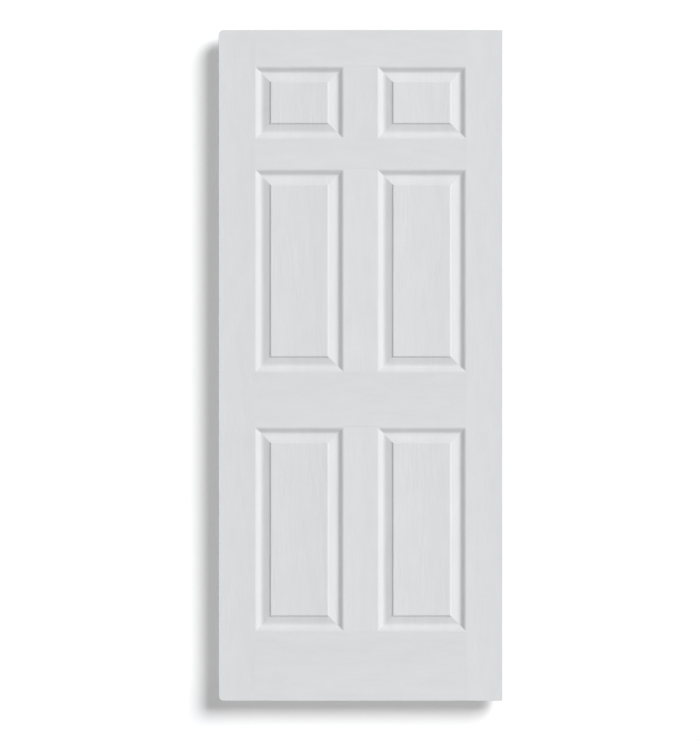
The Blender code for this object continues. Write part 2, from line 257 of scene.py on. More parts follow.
def paper(name, colour, glow):
    """White paper with a glow of its own, which only the camera sees, and only from its face.
    The glow grows from FOOT_GLOW_SHARE of itself to the whole between the two heights over
    the leaf's foot in FOOT_RISE."""
    material = bpy.data.materials.new(name)
    material.use_nodes = True
    tree = material.node_tree
    tree.nodes.remove(tree.nodes["Principled BSDF"])
    sheet = add_node(tree, "ShaderNodeBsdfDiffuse", {"Color": colour})
    place = add_node(tree, "ShaderNodeTexCoord").outputs["Object"]
    height = split(tree, place)["Z"]
    low, high = (cad_low.z + rise for rise in FOOT_RISE)
    fading = spread(tree, height, low, high, FOOT_GLOW_SHARE * glow, glow)
    shine = add_node(tree, "ShaderNodeEmission", {"Strength": fading})
    seen = add_node(tree, "ShaderNodeAddShader", {0: sheet.outputs[0], 1: shine.outputs[0]})
    clear = add_node(tree, "ShaderNodeBsdfTransparent")
    camera_ray = add_node(tree, "ShaderNodeLightPath").outputs["Is Camera Ray"]
    behind = add_node(tree, "ShaderNodeNewGeometry").outputs["Backfacing"]
    shown = sum_up(tree, "MULTIPLY", camera_ray, sum_up(tree, "SUBTRACT", 1.0, behind))
    mix = add_node(tree, "ShaderNodeMixShader",
                   {0: shown, 1: clear.outputs[0], 2: seen.outputs[0]})
    fill_inputs(tree, tree.nodes["Material Output"], {"Surface": mix.outputs[0]})
    return material


print("glow at the leaf's foot:", FOOT_GLOW_SHARE, "of the glow above it")

# %% Hang the backdrop and lay the floor
WALL_BEHIND_BACK = 0.044
FLOOR_BELOW_LEAF = 0.150
REACH = 6.0
WALL_PAPER = (0.95, 0.96, 0.973, 1.0)
WALL_GLOW = 0.178
FLOOR_PAPER = (0.77, 0.77, 0.77, 1.0)
FLOOR_GLOW = 0.29


def add_sheet(name, near, far, material):
    """A flat sheet, REACH wide to each side, between two level edges given by Y and Z."""
    corners = [(-REACH, *near), (REACH, *near), (REACH, *far), (-REACH, *far)]
    mesh = bpy.data.meshes.new(name)
    mesh.from_pydata(corners, [], [(0, 1, 2, 3)])
    mesh.materials.append(material)
    made = bpy.data.objects.new(name, mesh)
    bpy.context.scene.collection.objects.link(made)


wall_y = cad_high.y + WALL_BEHIND_BACK
floor_z = cad_low.z - FLOOR_BELOW_LEAF
add_sheet("backdrop", (wall_y, floor_z), (wall_y, REACH),
          paper("backdrop_paper", WALL_PAPER, WALL_GLOW))
add_sheet("floor", (-REACH, floor_z), (REACH, floor_z),
          paper("floor_paper", FLOOR_PAPER, FLOOR_GLOW))

# %% [markdown]
# ## The section of the moulding
#
# Round each panel the skin dips in an ogee, turns up in a hollow, climbs a bevel and ends in
# a short steep quirk at the raised field. The section could be drawn as a curve and swept
# round. As one function of the distance run in from the flat it also gives the depth at any
# point, and from that the skin's inner side. A press can't make a sharp bend, so the plain
# section is averaged over a short reach, and every bend comes out rounded.

# %% The moulding's section
OGEE_WIDTH = 0.020
GROOVE_DEPTH = 0.0088
HOLLOW_WIDTH = 0.008
BEVEL_WIDTH = 0.023
BEVEL_RISE = 0.0051
QUIRK_WIDTH = 0.0045
BEND_REACH = 0.0008
BEND_SAMPLES = 33
SKIN_THICKNESS = 0.003
DISC_SAMPLES = 121

HOLLOW_END = OGEE_WIDTH + HOLLOW_WIDTH
BEVEL_END = OGEE_WIDTH + BEVEL_WIDTH
QUIRK_END = BEVEL_END + QUIRK_WIDTH


def sharp_section(run):
    """Depth below the flat at each run: half a cosine wave down, a parabola that turns up
    into a straight bevel, a straight quirk, and then the field at the level of the flat."""
    slope = BEVEL_RISE / (BEVEL_WIDTH - HOLLOW_WIDTH / 2)
    past = run - OGEE_WIDTH
    ogee = GROOVE_DEPTH * (1 - np.cos(np.pi * np.maximum(run, 0) / OGEE_WIDTH)) / 2
    hollow = GROOVE_DEPTH - slope * past**2 / (2 * HOLLOW_WIDTH)
    bevel = GROOVE_DEPTH - slope * (past - HOLLOW_WIDTH / 2)
    quirk = (GROOVE_DEPTH - BEVEL_RISE) * (QUIRK_END - run) / QUIRK_WIDTH
    stretches = [past <= 0, past <= HOLLOW_WIDTH, past <= BEVEL_WIDTH, run <= QUIRK_END]
    return np.select(stretches, [ogee, hollow, bevel, quirk], 0.0)


def pressed_section(run):
    """The sharp section averaged from BEND_REACH before each run to BEND_REACH after it."""
    window = np.linspace(-BEND_REACH, BEND_REACH, BEND_SAMPLES)
    return sharp_section(run[:, None] + window).mean(axis=1)


def section_behind(run):
    """Depth of the skin's inner side: the deepest reach of a disc, as wide each way as the
    skin is thick, that rolls along the outer side. So the skin is nowhere thinner."""
    steps = np.linspace(-SKIN_THICKNESS, SKIN_THICKNESS, DISC_SAMPLES)
    disc = np.sqrt(SKIN_THICKNESS**2 - steps**2)
    outer = pressed_section((run[:, None] + steps).ravel()).reshape(len(run), len(steps))
    return (outer + disc).max(axis=1)


# %% [markdown]
# The mesh needs many lines where the section bends and few where it is straight. Four more
# lie just outside the moulding, for the joints between boards that come later.

# %% Lines over the section
JOINT_WIDTH = 0.001
LINES_BESIDE_JOINT = np.array([3.0, 1.0, 0.5])
JOINT_LINE = 2
SECTION_STRETCHES = [(OGEE_WIDTH, 15), (HOLLOW_END, 5), (BEVEL_END - BEND_REACH, 4),
                     (BEVEL_END + BEND_REACH, 4), (QUIRK_END - BEND_REACH, 2),
                     (QUIRK_END + BEND_REACH, 4)]
LAST_LINE = QUIRK_END + 3 * BEND_REACH


def section_lines():
    """Runs of the lines, in order: those of a joint, the start of the moulding, as many for
    each stretch, up to its end, as SECTION_STRETCHES says, and LAST_LINE."""
    start = -BEND_REACH
    runs = [start - JOINT_WIDTH * LINES_BESIDE_JOINT, [start]]
    for end, count in SECTION_STRETCHES:
        runs.append(np.linspace(start, end, count + 1)[1:])
        start = end
    return np.concatenate(runs + [[LAST_LINE]])


section_runs = section_lines()
section_outer = pressed_section(section_runs)
section_inner = section_behind(section_runs)
print("lines across one moulding:", len(section_runs))

# %% [markdown]
# ## Where the panels lie
#
# The widths of the flats are named, and the panels take what they leave of the leaf, so a
# leaf of another size would keep its flats and mouldings. The two tall rows share their
# height almost evenly.

# %% Lay out the panels
STILE_FACE = 0.1069
MULLION_FACE = 0.0985
TOP_RAIL_FACE = 0.107
FRIEZE_RAIL_FACE = 0.0888
LOCK_RAIL_FACE = 0.1618
BOTTOM_RAIL_FACE = 0.2048
TOP_PANEL_HEIGHT = 0.215
BOTTOM_PANEL_EXTRA = 0.0034

leaf_width = cad_high.x - cad_low.x
leaf_height = cad_high.z - cad_low.z
panel_width = (leaf_width - MULLION_FACE) / 2 - STILE_FACE
column_edges = np.cumsum([cad_low.x, STILE_FACE, panel_width,
                          MULLION_FACE, panel_width, STILE_FACE])
tall_rows = (leaf_height - TOP_RAIL_FACE - FRIEZE_RAIL_FACE - LOCK_RAIL_FACE
             - BOTTOM_RAIL_FACE - TOP_PANEL_HEIGHT)
row_edges = np.cumsum([cad_low.z, BOTTOM_RAIL_FACE, (tall_rows + BOTTOM_PANEL_EXTRA) / 2,
                       LOCK_RAIL_FACE, (tall_rows - BOTTOM_PANEL_EXTRA) / 2,
                       FRIEZE_RAIL_FACE, TOP_PANEL_HEIGHT, TOP_RAIL_FACE])

# %% [markdown]
# ## One skin as a grid
#
# Six swept mouldings would have to be joined to the flats and fields. But all panels share
# their columns and rows, so one grid of upright and level lines can carry the whole skin:
# close lines over each moulding, and none over the flats. Each line knows how many steps it
# lies inside a moulding. Where two lines cross, the smaller count holds, and that alone
# gives the mitres: a point belongs to the side of the panel that it is nearest to.

# %% Grid lines
HINGE_CORNER_RADIUS = 0.015
LATCH_CORNER_RADIUS = 0.002
ARRIS = 0.0008
CORNER_STEPS = 6
LINE_DECIMALS = 7


def border(radius, inset):
    """Distances from the leaf's outline of the lines over its corner arcs, outermost first."""
    return radius - (radius - inset) * np.linspace(1, 0, CORNER_STEPS + 1)


def grid_lines(edges, low_border, high_border):
    """Places of the lines one way over the skin, and each line's count of steps inside a
    moulding: up from 0 at a panel's edge to the field, and down again to its other edge."""
    inside = np.arange(len(section_runs))
    places = [edges[0] + low_border]
    counts = [np.zeros(len(low_border), int)]
    for start, end in zip(edges[1:-1:2], edges[2:-1:2]):
        places += [start + section_runs, end - section_runs[::-1]]
        counts += [inside, inside[::-1]]
    places.append(edges[-1] - high_border[::-1])
    counts.append(np.zeros(len(high_border), int))
    return np.concatenate(places), np.concatenate(counts)


def skin_lines(inset):
    """The lines across and up, for a face whose outline is this far inside the leaf's."""
    hinge, latch = (border(r, inset) for r in (HINGE_CORNER_RADIUS, LATCH_CORNER_RADIUS))
    both = np.unique(np.round(np.concatenate([hinge, latch]), LINE_DECIMALS))
    return grid_lines(column_edges, hinge, latch), grid_lines(row_edges, both, both)


(xs, steps_x), (zs, steps_z) = skin_lines(ARRIS)
print("grid of", len(xs), "by", len(zs), "lines")

# %% [markdown]
# ## Rounded corners
#
# A square grid is bent to a round corner by keeping each ring of the square and making it a
# quarter circle. The nearest point of the core, which is the leaf's outline less its corner
# radii, gives every point its way outwards, along straight sides and round arcs alike.

# %% Bend the grid round the corners
def from_core(x, z):
    """For each point, the nearest point of the leaf's core, and the way across and up from
    there. The leaf stands about x = 0, so its hinge edge is where x is below 0."""
    radius = np.where(x < 0, HINGE_CORNER_RADIUS, LATCH_CORNER_RADIUS)
    core_x = np.clip(x, cad_low.x + HINGE_CORNER_RADIUS, cad_high.x - LATCH_CORNER_RADIUS)
    core_z = np.clip(z, cad_low.z + radius, cad_high.z - radius)
    return core_x, core_z, x - core_x, z - core_z


def round_corners(x, z):
    """Moves each point of a corner square to the circle of its ring: its distance from the
    core becomes the larger of its distances across and up."""
    core_x, core_z, across, up = from_core(x, z)
    length = np.hypot(across, up)
    ring = np.maximum(abs(across), abs(up))
    share = np.divide(ring, length, out=np.ones_like(length), where=length > 0)
    return core_x + across * share, core_z + up * share


def step_outwards(x, z, distance):
    """Moves points of the outline away from the core by a distance."""
    _, _, across, up = from_core(x, z)
    length = np.hypot(across, up)
    return x + across / length * distance, z + up / length * distance


corner_x, _ = round_corners(np.array([cad_low.x]), np.array([cad_high.z]))

# %% [markdown]
# ## Triangles
#
# The outer face and the inner face are two such grids. Between their outlines runs the rim:
# first the small round of the arris, then the cut edge of the board. Each cell of a grid
# becomes two triangles. On a mitre they have to meet along it, so each cell is cut along the
# diagonal whose ends differ most in their counts.

# %% Faces of a grid and of the rim
def grid_triangles(first, counts):
    """Two triangles for each cell of a grid whose points are numbered on from first."""
    number = first + np.arange(counts.size).reshape(counts.shape)
    a, b, c, d = number[:-1, :-1], number[1:, :-1], number[1:, 1:], number[:-1, 1:]
    rise = abs(counts[:-1, :-1] - counts[1:, 1:]) >= abs(counts[1:, :-1] - counts[:-1, 1:])
    cut_ac = np.stack([a, b, c, a, c, d], axis=-1)
    cut_bd = np.stack([a, b, d, b, c, d], axis=-1)
    return np.where(rise[..., None], cut_ac, cut_bd).reshape(-1, 3)


def outline_of(grid):
    """The numbers round the edge of a grid, anticlockwise as seen from the front."""
    return np.concatenate([grid[:-1, 0], grid[-1, :-1], grid[:0:-1, -1], grid[0, :0:-1]])


def band_triangles(near, far):
    """Two triangles for each step along two closed loops of as many points."""
    near_next, far_next = np.roll(near, -1), np.roll(far, -1)
    return np.stack([near, far, far_next, near, far_next, near_next], axis=-1).reshape(-1, 3)


face_counts = np.minimum(steps_x[:, None], steps_z[None, :])
print("triangles over one face:", len(grid_triangles(0, face_counts)))

# %% [markdown]
# ## The pattern of boards
#
# The pattern of boards, pressed into the skin, needs to know which board a point is on and
# how far along and across it lies. A UV map holds just that, in metres: stiles run the whole
# height, rails run between them, and mullions and panels stand between rails. Each board
# takes its stretch of the pattern from a place of its own.

# %% Map the boards
BOARD_SHIFT = 3.7
COLUMNS = len(column_edges) - 1
ROWS = len(row_edges) - 1
MULLION_COLUMN = COLUMNS // 2


def board_map(points, triangles):
    """For each triangle's corners, the distance along and across the board it lies on."""
    corners = points[triangles][..., [0, 2]]
    middle = corners.mean(axis=1)
    column = np.searchsorted(column_edges[1:-1], middle[:, 0])
    row = np.searchsorted(row_edges[1:-1], middle[:, 1])
    stile = (column == 0) | (column == COLUMNS - 1)
    rail = ~stile & (row % 2 == 0)
    centres_x = (column_edges[:-1] + column_edges[1:]) / 2
    centres_z = (row_edges[:-1] + row_edges[1:]) / 2
    upright = np.stack([corners[..., 1], corners[..., 0] - centres_x[column][:, None]], axis=-1)
    level = np.stack([corners[..., 0], corners[..., 1] - centres_z[row][:, None]], axis=-1)
    number = np.where(stile, 0, row) + ROWS * np.where(rail, MULLION_COLUMN, column)
    mapped = np.where(rail[:, None, None], level, upright)
    mapped[..., 0] += BOARD_SHIFT * number[:, None]
    return mapped


print("the pattern has", COLUMNS, "columns and", ROWS, "rows")

# %% [markdown]
# The pattern's boards meet in fine pressed lines: upright where a rail ends at a stile, and
# level where a mullion ends at a rail. Of the four grid lines just outside every moulding,
# the third sinks along a joint. The second and the fourth are its banks, and the first keeps
# the shading of the joint off the flat. A mark for each grid point is 1 on a joint, else 0.

# %% The joints of the pattern
JOINT_DEPTH = 0.0004

in_stile = (xs < column_edges[1]) | (xs > column_edges[-2])
in_mullion = (xs > column_edges[MULLION_COLUMN]) & (xs < column_edges[MULLION_COLUMN + 1])
beside_rail = in_stile & (steps_x == JOINT_LINE)
upright_joints = beside_rail[:, None] & (steps_z <= JOINT_LINE)
level_joints = in_mullion[:, None] & (steps_z == JOINT_LINE)
joint_marks = (upright_joints | level_joints).astype(float)
print("grid points on joints:", int(joint_marks.sum()))

# %% [markdown]
# How much of the pressed grain shows follows the section: all of it on the field, nearly all
# on the bevel, less on the flats, and least in the ogee, where the press draws the skin most.

# %% How much of the grain shows
FLAT_EMBOSSING = 0.6
OGEE_EMBOSSING = 0.3
BEVEL_EMBOSSING = 0.9
FIELD_EMBOSSING = 1.0
EMBOSSING_FALL = 0.004

embossing = np.interp(section_runs,
                      [0.0, EMBOSSING_FALL, OGEE_WIDTH, HOLLOW_END, BEVEL_END, QUIRK_END],
                      [FLAT_EMBOSSING, OGEE_EMBOSSING, OGEE_EMBOSSING, BEVEL_EMBOSSING,
                       BEVEL_EMBOSSING, FIELD_EMBOSSING])
print("embossing goes from", embossing.min(), "to", embossing.max())

# %% [markdown]
# ## The skin as one closed shell
#
# The two faces and the rim share their points, so the shell is closed and needs no welding.
# How much primer covers the board is one on the face. It fades over the cut edge, where only
# overspray has landed, in two more loops of the rim.

# %% Points and triangles of a skin
ARRIS_STEPS = 4
RIM_DEPTHS = np.array([0.0013, 0.0021])
RIM_PAINT = np.array([0.45, 0.12])


def face_points(inset, depths):
    """Points of one face of the skin: its grid, bent round the corners, at its depths."""
    (x, counts_x), (z, counts_z) = skin_lines(inset)
    counts = np.minimum(counts_x[:, None], counts_z[None, :])
    grid_x, grid_z = round_corners(*np.meshgrid(x, z, indexing="ij"))
    return np.stack([grid_x, depths[counts], grid_z], axis=-1).reshape(-1, 3), counts


def shell():
    """Points, triangles, primer and embossing of a skin whose flat face lies at depth 0."""
    outer, counts = face_points(ARRIS, section_outer)
    outer[:, 1] += JOINT_DEPTH * joint_marks.ravel()
    inner, _ = face_points(0.0, section_inner)
    loop = outline_of(np.arange(counts.size).reshape(counts.shape))
    turn = np.linspace(0, np.pi / 2, ARRIS_STEPS + 1)[1:]
    reaches = np.concatenate([ARRIS * np.sin(turn), np.full(len(RIM_DEPTHS), ARRIS)])
    depths = np.concatenate([ARRIS * (1 - np.cos(turn)), RIM_DEPTHS])
    rim_x, rim_z = step_outwards(outer[loop, 0], outer[loop, 2], reaches[:, None])
    rim = np.stack([rim_x, np.broadcast_to(depths[:, None], rim_x.shape), rim_z], axis=-1)
    points = np.concatenate([outer, rim.reshape(-1, 3), inner])
    inner_start = len(outer) + rim_x.size
    rim_loops = np.arange(len(outer), inner_start).reshape(rim_x.shape)
    loops = [loop, *rim_loops, inner_start + loop]
    bands = [band_triangles(far, near) for near, far in zip(loops, loops[1:])]
    faces = [grid_triangles(0, counts)] + bands + [grid_triangles(inner_start, counts)[:, ::-1]]
    rim_primer = np.concatenate([np.ones(ARRIS_STEPS), RIM_PAINT])
    primer = np.zeros(len(points))
    primer[:inner_start] = np.repeat([1.0, *rim_primer], [len(outer)] + [len(loop)] * len(rim_x))
    grain = np.zeros(len(points))
    grain[:len(outer)] = embossing[counts].ravel()
    return points, np.concatenate(faces), primer, grain


def open_edges(triangles):
    """How many edges of a mesh don't have exactly two triangles."""
    edges = np.sort(triangles[:, [0, 1, 1, 2, 2, 0]].reshape(-1, 2), axis=1)
    return int((np.unique(edges, axis=0, return_counts=True)[1] != 2).sum())


print("open edges of the shell:", open_edges(shell()[1]))

# %% [markdown]
# A mesh is made from the arrays in one go. The primer and the embossing go with it as
# attributes of its points, and the boards as its UV map, so the finish can read all three.
# The bends are shaded smooth, and only edges sharper than a bend stay crisp.

# %% Make the two skins
CRISP_ANGLE = math.radians(18)


def make_skin(name, node, face_y, outwards):
    """A skin whose face lies at face_y and looks outwards, -1 for the front and 1 for the
    back. Turning it over for the back also turns its triangles over."""
    points, triangles, primer, grain = shell()
    points[:, 1] = face_y - outwards * points[:, 1]
    if outwards > 0:
        triangles = triangles[:, ::-1]
    mesh = bpy.data.meshes.new(name)
    mesh.from_pydata(points.tolist(), [], triangles.tolist())
    for title, values in (("primer", primer), ("embossing", grain)):
        layer = mesh.attributes.new(title, "FLOAT", "POINT")
        layer.data.foreach_set("value", values.astype(np.float32))
    boards = mesh.uv_layers.new(name="boards")
    boards.data.foreach_set("uv", board_map(points, triangles).astype(np.float32).ravel())
    mesh.shade_smooth()
    mesh.set_sharp_from_angle(angle=CRISP_ANGLE)
    made = bpy.data.objects.new(name, mesh)
    bpy.context.scene.collection.objects.link(made)
    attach(made, "root")
    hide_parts(node)
    print(name, "has", len(triangles), "triangles")
    return made


front_skin = make_skin("front_skin", "front_facing", cad_low.y, -1)
back_skin = make_skin("back_skin", "back_facing", cad_high.y, 1)

# %% [markdown]
# ## Felted fibres
#
# Fibreboard, the lock blocks and kraft paper are all wood fibre, pressed into a felt. One
# group makes it for all three, so that they look akin: short dark and light flecks, lying
# both ways, over slow, cloudy changes.

# %% The fibre group
USUAL_FIBRE_LENGTH = 0.003
FLECK_STRETCHES = ((1.0, 4.0, 5.0), (5.0, 4.0, 1.0))
FLECK_DETAIL = 3.0
FLECK_ROUGHNESS = 0.6
CLOUDS_PER_METRE = 9.0
CLOUD_DETAIL = 2.0
CLOUD_WEIGHT = 0.35
FELT_RANGE = (0.5, 1.0)


def make_group(name, wanted, given):
    """A shader node group with a Vector and the wanted inputs, and with the given outputs.
    With it come the sockets where its inputs arrive and the node that its outputs leave by."""
    group = bpy.data.node_groups.new(name, "ShaderNodeTree")
    for title, kind, value in [("Vector", "Vector", None), *wanted]:
        socket = group.interface.new_socket(
            title, in_out="INPUT", socket_type="NodeSocket" + kind)
        if value is not None:
            socket.default_value = value
    for title, kind in given:
        group.interface.new_socket(title, in_out="OUTPUT", socket_type="NodeSocket" + kind)
    taken = group.nodes.new("NodeGroupInput").outputs
    return group, taken, group.nodes.new("NodeGroupOutput")


def use_group(tree, group, inputs):
    """The outputs of a node group that is placed in a tree with these inputs."""
    return add_node(tree, "ShaderNodeGroup", inputs, node_tree=group).outputs


def felted_fibres():
    """Flecks, stretched one way and then the other, on slow clouds of colour."""
    group, taken, made = make_group(
        "felted_fibres",
        [("Light", "Color", None), ("Dark", "Color", None),
         ("Fibre Length", "Float", USUAL_FIBRE_LENGTH)],
        [("Color", "Color"), ("Height", "Float")])
    fineness = sum_up(group, "DIVIDE", 1.0, taken["Fibre Length"])
    flecks = []
    for stretch in FLECK_STRETCHES:
        place = add_node(group, "ShaderNodeVectorMath", {0: taken["Vector"], 1: stretch},
                         operation="MULTIPLY").outputs[0]
        flecks.append(noise(group, {"Vector": place, "Scale": fineness,
                                    "Detail": FLECK_DETAIL, "Roughness": FLECK_ROUGHNESS}))
    felt = sum_up(group, "MAXIMUM", *flecks)
    clouds = noise(group, {"Vector": taken["Vector"], "Scale": CLOUDS_PER_METRE,
                           "Detail": CLOUD_DETAIL})
    both = sum_up(group, "MULTIPLY_ADD", clouds, CLOUD_WEIGHT, felt)
    colour = blend_colours(group, spread(group, both, *FELT_RANGE),
                           taken["Dark"], taken["Light"])
    fill_inputs(group, made, {"Color": colour, "Height": felt})
    return group


fibre_group = felted_fibres()
print("group:", fibre_group.name)

# %% [markdown]
# ## Overspray
#
# The primer is sprayed on the faces. At the edges of the leaf it thins out into a mist of
# specks over bare board and bare wood. A smooth blend would look like a stain, so the group
# is given how much of it has landed, and breaks that share up into specks.

# %% The overspray group
PRIMER = (0.724, 0.732, 0.7475, 1.0)
USUAL_SHARE = 0.5
SPECKS_PER_METRE = 700.0
SPECK_DETAIL = 2.0
COVER_RANGE = (0.75, 1.0)


def oversprayed():
    """A bare colour covered by primer: wholly at a share of 1, in specks at less, and not
    at all at 0. The cover comes out too, for the roughness."""
    group, taken, made = make_group(
        "oversprayed",
        [("Bare", "Color", None), ("Primer", "Color", PRIMER), ("Share", "Float", USUAL_SHARE)],
        [("Color", "Color"), ("Cover", "Float")])
    specks = noise(group, {"Vector": taken["Vector"], "Scale": SPECKS_PER_METRE,
                           "Detail": SPECK_DETAIL})
    cover = spread(group, sum_up(group, "ADD", taken["Share"], specks), *COVER_RANGE)
    colour = blend_colours(group, cover, taken["Bare"], taken["Primer"])
    fill_inputs(group, made, {"Color": colour, "Cover": cover})
    return group


spray_group = oversprayed()
print("group:", spray_group.name)

# %% [markdown]
# ## The pressed grain
#
# Under the primer the press has left a wood grain: growth rings cut flat, which run straight
# at a board's edges and close in tall arches along its middle, broad soft streaks, and short
# pores that gather along the rings. The rings come from the distance to a pith line that lies
# a little below the board and wanders nearer and farther along it. In places the grain is
# worn fainter. All of it is so shallow that a bump can make it, and the mesh stays light.

# %% Helpers for wood
GRAIN_DETAIL = 1.0


def stretched_noise(tree, along, across, size, detail=GRAIN_DETAIL):
    """Noise whose blots have about this length and width, for given ways along and across."""
    length, width = size
    place = combine(tree, sum_up(tree, "DIVIDE", along, length),
                    sum_up(tree, "DIVIDE", across, width))
    return noise(tree, {"Vector": place, "Scale": 1.0, "Detail": detail})


def pith_distance(tree, across, up):
    """Distance from a pith line: the root of the sum of the squares of its two parts."""
    square = sum_up(tree, "MULTIPLY_ADD", across, across, sum_up(tree, "MULTIPLY", up, up))
    return sum_up(tree, "SQRT", square)


print("helpers for wood are ready")

# %% The group for the pressed grain
WANDER_SIZE = (0.38, 0.07)
WANDER_DETAIL = 3.0
WANDER_REACH = 0.03
PITH_BENDS_PER_METRE = 1.6
PITH_NOISE = (0.3, 0.7)
PITH_BELOW = (0.012, 0.075)
RING_SPACING = 0.0085
RING_WAVE = (-0.2, 1.0)
RING_DEPTH = 0.2
PORE_SIZE = (0.014, 0.0009)
PORE_NOISE = (0.55, 0.68)
PORE_DEPTH = 0.1
PORE_DEPTH_ON_RING = 0.35
STREAK_SIZE = (0.070, 0.010)
STREAK_DEPTH = 4.2
WEAR_SIZE = (0.2, 0.05)
WEAR_NOISE = (0.35, 0.62)
MOST_WORN = 0.25


def pressed_grain():
    """Height of the pressed wood grain, highest at 1, on a UV map that holds the distance
    along and across a board: 1 less the depths of the streaks, rings and pores, which are
    multiplied by a share from MOST_WORN to 1."""
    group, taken, made = make_group("pressed_grain", [], [("Height", "Float")])
    along, straight, _ = split(group, taken["Vector"])
    wander = stretched_noise(group, along, straight, WANDER_SIZE, WANDER_DETAIL)
    across = sum_up(group, "MULTIPLY_ADD", wander, WANDER_REACH, straight)
    centred = sum_up(group, "SUBTRACT", across, WANDER_REACH / 2)
    pith = noise(group, {"W": along, "Scale": PITH_BENDS_PER_METRE, "Detail": GRAIN_DETAIL},
                 noise_dimensions="1D")
    below = spread(group, pith, *PITH_NOISE, *PITH_BELOW)
    turns = sum_up(group, "DIVIDE", pith_distance(group, below, centred), RING_SPACING)
    wave = sum_up(group, "SINE", sum_up(group, "MULTIPLY", turns, 2 * math.pi))
    rings = spread(group, wave, *RING_WAVE)
    pores = spread(group, stretched_noise(group, along, across, PORE_SIZE), *PORE_NOISE)
    streaks = stretched_noise(group, along, across, STREAK_SIZE)
    ticks = sum_up(group, "MULTIPLY", pores,
                   sum_up(group, "MULTIPLY_ADD", rings, PORE_DEPTH_ON_RING, PORE_DEPTH))
    depth = sum_up(group, "MULTIPLY_ADD", rings, RING_DEPTH, ticks)
    depth = sum_up(group, "MULTIPLY_ADD", streaks, STREAK_DEPTH, depth)
    wear = stretched_noise(group, along, across, WEAR_SIZE)
    depth = sum_up(group, "MULTIPLY", depth, spread(group, wear, *WEAR_NOISE, MOST_WORN))
    fill_inputs(group, made, {"Height": sum_up(group, "SUBTRACT", 1.0, depth)})
    return group


grain_group = pressed_grain()
print("group:", grain_group.name)

# %% [markdown]
# ## The primed skin
#
# Factory primer is a matt, slightly cool white. It lies a little thicker on some boards of
# the pattern than on others, and soft patches run along each of them. The slopes of the
# mouldings are painted a little darker, a painted shade that grows with the slope, and
# between its edges each board is very slightly hollow. One colour would make the leaf look
# like plastic, so each of these small changes is worked out by a helper of its own.

# %% Small changes of the primer
PRIMER_SHADE = (0.677, 0.685, 0.6995, 1.0)
BOARD_TONE_SEED = 42771
BOARD_TONE_SHARE = 0.43
BOARD_MARGIN = 1.0
PATCH_SIZE = (0.10, 0.032)
PATCH_DETAIL = 4.0
PATCH_NOISE = (0.3, 0.7)
# Share by which the slopes of the mouldings are painted darker: painted shade.
SLOPE_SHADE_SHARE = 0.05
HOLLOW_BEND = 0.22
HOLLOW_REACH = 0.08


def primer_tone(tree, boards):
    """How light the primer is, from 0 to 1: a tone for each board, drawn by the stretch of
    the UV map that it takes, and soft patches along it. The seed was picked out of 60,000
    for how its tones fall on the boards. BOARD_MARGIN brings a board that reaches below
    zero wholly into its own stretch."""
    along, across, _ = split(tree, boards)
    stretch = sum_up(tree, "DIVIDE", sum_up(tree, "ADD", along, BOARD_MARGIN), BOARD_SHIFT)
    number = sum_up(tree, "FLOOR", sum_up(tree, "ADD", stretch, BOARD_TONE_SEED))
    tone = add_node(tree, "ShaderNodeTexWhiteNoise", {"W": number}, noise_dimensions="1D")
    patches = spread(tree, stretched_noise(tree, along, across, PATCH_SIZE, PATCH_DETAIL),
                     *PATCH_NOISE)
    own = sum_up(tree, "MULTIPLY", tone.outputs["Value"], BOARD_TONE_SHARE)
    return sum_up(tree, "MULTIPLY_ADD", patches, 1 - BOARD_TONE_SHARE, own)


def painted_slope_shade(tree):
    """Painted shade on the slopes: a factor for the primer's colour, 1 where the skin faces
    straight out, and less by a set share times the sine of the slope elsewhere."""
    normal = add_node(tree, "ShaderNodeTexCoord").outputs["Normal"]
    facing = split(tree, normal)["Y"]
    rest = sum_up(tree, "SUBTRACT", 1.0, sum_up(tree, "MULTIPLY", facing, facing))
    return sum_up(tree, "MULTIPLY_ADD", sum_up(tree, "SQRT", rest), -SLOPE_SHADE_SHARE, 1.0)


def board_hollow(tree, boards):
    """Height of the slow hollow across each board: HOLLOW_BEND times the square of the
    distance from its middle line, and level beyond HOLLOW_REACH, where a field ends."""
    across = split(tree, boards)["Y"]
    away = sum_up(tree, "MINIMUM", sum_up(tree, "ABSOLUTE", across), HOLLOW_REACH)
    return sum_up(tree, "MULTIPLY", sum_up(tree, "MULTIPLY", away, away), HOLLOW_BEND)


print("steepest slope of a hollow:", round(2 * HOLLOW_BEND * HOLLOW_REACH, 3))

# %% [markdown]
# The finish puts them together. At the cut edge little primer has landed, and the brown
# board shows through, rougher than the paint.

# %% The primed fibreboard
RAW_BOARD_LIGHT = (0.36, 0.235, 0.135, 1.0)
RAW_BOARD_DARK = (0.17, 0.095, 0.047, 1.0)
RAW_FIBRE_LENGTH = 0.0025
RAW_ROUGHNESS = 0.9
PRIMER_ROUGHNESS = 0.6
GRAIN_DEPTH = 0.00016


def begin_finish(name):
    """A new material, its node tree, its shader, and the place in the leaf's own space."""
    material = bpy.data.materials.new(name)
    material.use_nodes = True
    tree = material.node_tree
    place = add_node(tree, "ShaderNodeTexCoord").outputs["Object"]
    return material, tree, tree.nodes["Principled BSDF"], place


def relief(tree, height, depth):
    """The bumped normal of a surface, where a height of 1 stands for this depth."""
    return add_node(tree, "ShaderNodeBump",
                    {"Distance": depth, "Height": height}).outputs["Normal"]


